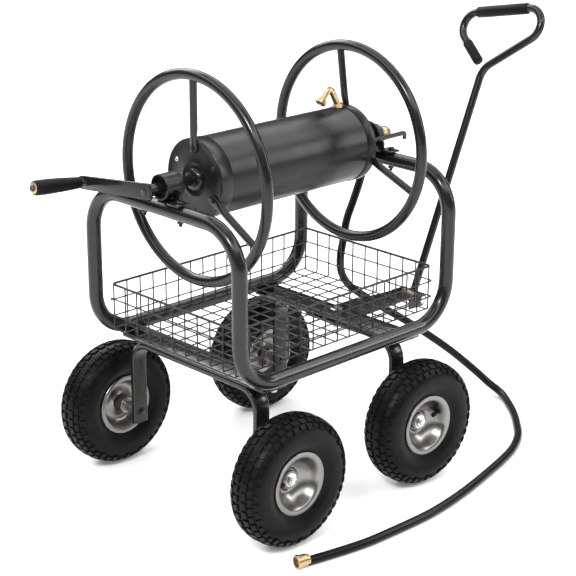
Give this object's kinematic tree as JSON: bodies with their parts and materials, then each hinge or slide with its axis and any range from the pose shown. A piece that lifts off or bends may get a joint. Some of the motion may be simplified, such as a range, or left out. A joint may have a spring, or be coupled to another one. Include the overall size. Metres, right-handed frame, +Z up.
{
  "type": "garden hose reel cart",
  "caption": "Steerable garden hose reel cart: tube frame on pneumatic wheels, wire basket, cranked drum between spoked hoops, pull handle and leader hose",
  "frame": {"origin": "on the floor, under the centre of the cart's bounding box without the hose", "axes": "+X along the drum axis from the crank end to the pull handle end, +Y to the far side, +Z up"},
  "size_m": [1.0862, 0.6698, 0.883],
  "materials": {
    "powder_coat": "satin gunmetal powder coat",
    "drum_paint": "satin black paint",
    "black_wire": "black coated welded wire",
    "zinc": "bright zinc plate",
    "yellow_zinc": "yellow passivated zinc plate",
    "tyre": "black rubber",
    "inner_tube": "black butyl rubber",
    "rim": "galvanised pressed steel",
    "brass": "machined brass",
    "hose": "glossy black",
    "grip": "black foam and moulded grip"
  },
  "bodies": {
    "chassis": {"frame_loop": "powder_coat", "crank_cross_plate": "powder_coat", "handle_cross_plate": "powder_coat", "crank_axle_beam": "powder_coat", "axle_bolt_crank_far": "zinc", "axle_bolt_crank_near": "zinc", "kingpin": "zinc", "basket": "black_wire", "bearing_bracket_crank": "powder_coat", "bearing_bracket_inlet": "powder_coat", "bearing_housing_crank": "drum_paint", "bearing_housing_inlet": "drum_paint", "inlet_swivel": "brass", "leader_hose": "hose", "hose_fitting": "brass", "rail_bolt_crank_near": "zinc", "rail_bolt_crank_far": "zinc", "rail_bolt_handle_near": "zinc", "rail_bolt_handle_far": "zinc", "bracket_bolt_crank_near": "zinc", "bracket_bolt_crank_far": "zinc", "bracket_bolt_inlet_near": "zinc", "bracket_bolt_inlet_far": "zinc"},
    "wheel_crank_far": {"tyre_crank_far": "tyre", "rim_crank_far": "rim", "inner_tube_crank_far": "inner_tube"},
    "wheel_crank_near": {"tyre_crank_near": "tyre", "rim_crank_near": "rim", "inner_tube_crank_near": "inner_tube"},
    "steering": {"steer_axle_beam": "powder_coat", "steer_tongue": "powder_coat", "axle_bolt_handle_far": "zinc", "axle_bolt_handle_near": "zinc", "handle_pivot_bolt": "zinc"},
    "wheel_handle_far": {"tyre_handle_far": "tyre", "rim_handle_far": "rim", "inner_tube_handle_far": "inner_tube"},
    "wheel_handle_near": {"tyre_handle_near": "tyre", "rim_handle_near": "rim", "inner_tube_handle_near": "inner_tube"},
    "pull_handle": {"pull_handle_tube": "powder_coat", "handle_pivot_sleeve": "yellow_zinc", "pull_handle_grip": "grip", "pull_handle_cap": "grip"},
    "reel": {"drum": "drum_paint", "end_disc_crank": "drum_paint", "end_disc_inlet": "drum_paint", "hoop_crank": "powder_coat", "hoop_inlet": "powder_coat", "reel_shaft_crank": "powder_coat", "reel_shaft_inlet": "powder_coat", "crank_arm": "powder_coat", "crank_nut": "drum_paint", "grip_spindle": "zinc", "outlet_elbow": "brass", "feed_pipe": "brass"},
    "crank_handgrip": {"crank_grip": "grip"},
    "reel_lock": {"lock_pin": "powder_coat"}
  },
  "joints": [
    {"name": "wheel_spin_crank_far", "type": "hinge", "parent": "chassis", "child": "wheel_crank_far", "pos_m": [-0.3091, 0.2505, 0.127], "axis": [0, 1, 0], "continuous": true},
    {"name": "wheel_spin_crank_near", "type": "hinge", "parent": "chassis", "child": "wheel_crank_near", "pos_m": [-0.3091, -0.2505, 0.127], "axis": [0, 1, 0], "continuous": true},
    {"name": "steering_turn", "type": "hinge", "parent": "chassis", "child": "steering", "pos_m": [0.0714, 0, 0.27], "axis": [0, 0, 1], "range_deg": [-14.6, 21.4]},
    {"name": "wheel_spin_handle_far", "type": "hinge", "parent": "steering", "child": "wheel_handle_far", "pos_m": [0.08575, 0.24157, 0.127], "axis": [0.0593, 0.9982, 0], "continuous": true},
    {"name": "wheel_spin_handle_near", "type": "hinge", "parent": "steering", "child": "wheel_handle_near", "pos_m": [0.05705, -0.24157, 0.127], "axis": [0.0593, 0.9982, 0], "continuous": true},
    {"name": "pull_handle_tilt", "type": "hinge", "parent": "steering", "child": "pull_handle", "pos_m": [0.29171, -0.01309, 0.2725], "axis": [0.0593, 0.9982, 0], "range_deg": [-22, 65]},
    {"name": "reel_spin", "type": "hinge", "parent": "chassis", "child": "reel", "pos_m": [-0.1076, 0, 0.643], "axis": [1, 0, 0], "continuous": true},
    {"name": "crank_grip_spin", "type": "hinge", "parent": "reel", "child": "crank_handgrip", "pos_m": [-0.4776, 0.182, 0.62731], "axis": [0.9962, 0, -0.0872], "continuous": true},
    {"name": "reel_lock_slide", "type": "slide", "parent": "chassis", "child": "reel_lock", "axis": [-1, 0, 0], "range_m": [0, 0.0065]}
  ]
}
